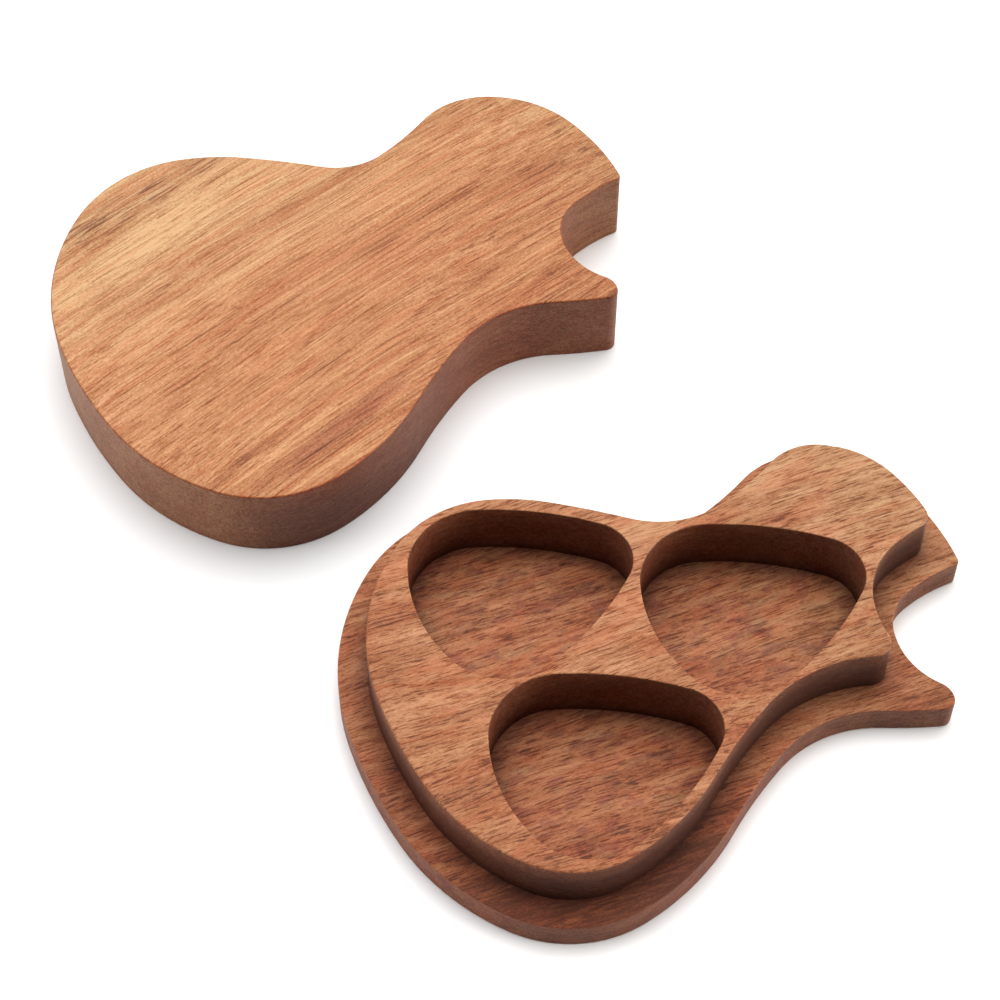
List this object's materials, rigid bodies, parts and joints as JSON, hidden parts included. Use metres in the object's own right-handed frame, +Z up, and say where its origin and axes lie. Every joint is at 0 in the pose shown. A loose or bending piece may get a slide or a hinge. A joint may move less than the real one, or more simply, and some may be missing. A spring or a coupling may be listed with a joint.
{
  "type": "guitar pick box",
  "caption": "Guitar-body-shaped wooden box for guitar picks: a base with pick-shaped pockets in a raised spigot, and a hollow lift-off lid lying open beside it.",
  "frame": {"origin": "on the base's flat underside, at the middle of its outline", "axes": "+X along the guitar body towards the neck, +Y towards the lid and the upper bout, +Z up out of the pockets"},
  "size_m": [0.1131, 0.1496, 0.0132],
  "materials": {
    "base_wood": "open-pored red-brown hardwood, sanded, very thin matte oil",
    "lid_wood": "straight-grained orange-brown hardwood with darker streaks, sanded, very thin matte oil"
  },
  "bodies": {
    "base": {"base": "base_wood"},
    "lid": {"lid": "lid_wood"}
  },
  "joints": [
    {"name": "lid_lift", "type": "slide", "parent": "base", "child": "lid", "axis": [0, 0, 1], "range_m": [0, 0.03]}
  ]
}
